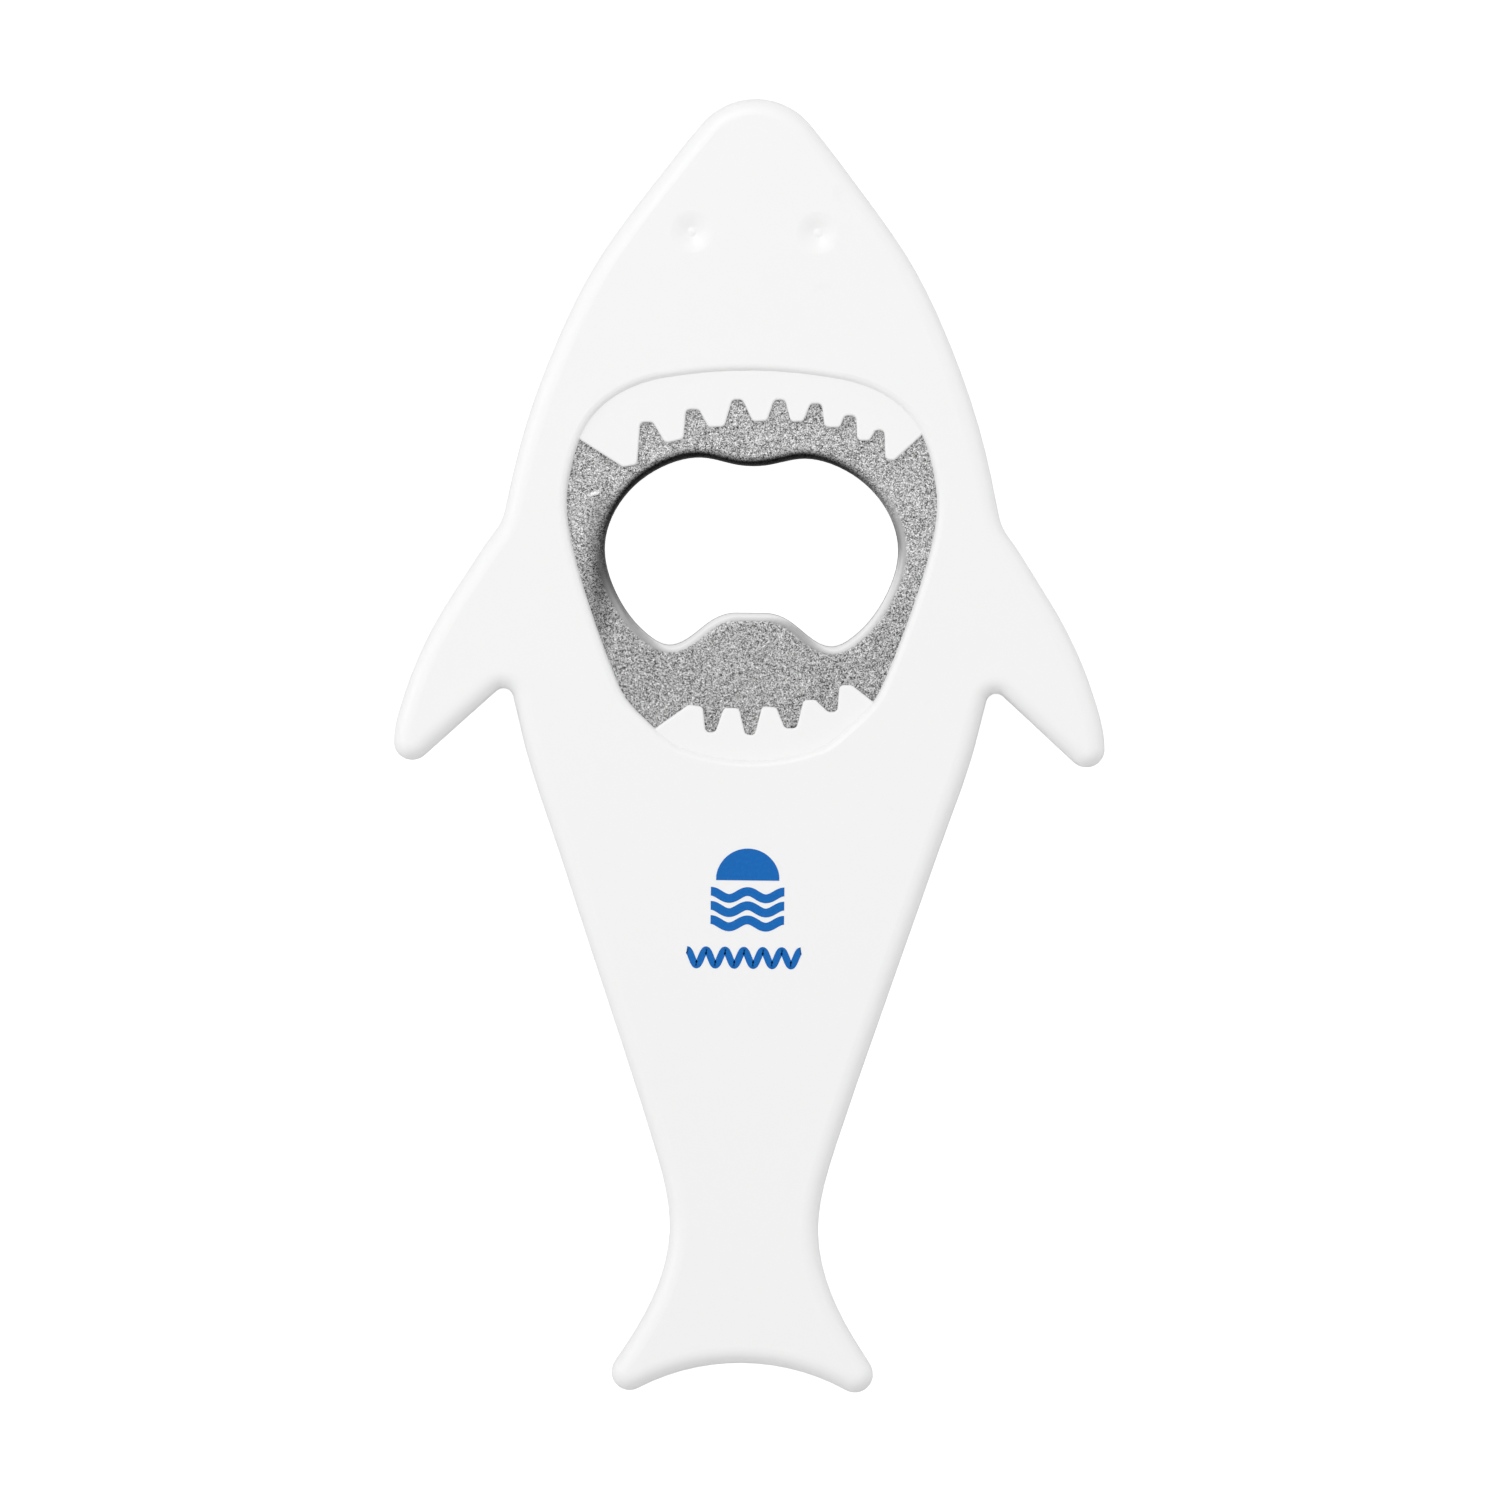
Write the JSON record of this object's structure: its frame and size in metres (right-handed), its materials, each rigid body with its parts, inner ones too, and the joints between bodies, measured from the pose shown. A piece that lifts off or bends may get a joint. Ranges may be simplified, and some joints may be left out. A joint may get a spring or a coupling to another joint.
{
  "type": "bottle opener",
  "caption": "Flat shark-shaped hand bottle opener: white plastic shells clamped round a steel plate with a cap hole in the toothed mouth.",
  "frame": {"origin": "middle of the outline on the flat back face", "axes": "+Y to the nose, +X to the right seen from the front, +Z out of the front face"},
  "size_m": [0.0804, 0.146, 0.007],
  "materials": {
    "white_front_plastic": "satin, moulded",
    "white_back_plastic": "fine matt, moulded",
    "opener_steel": "fine shot-blasted",
    "blue_ink": "pad-printed ink"
  },
  "bodies": {
    "root": {"front_shell": "white_front_plastic", "back_shell": "white_back_plastic", "opener_plate": "opener_steel"}
  },
  "joints": []
}
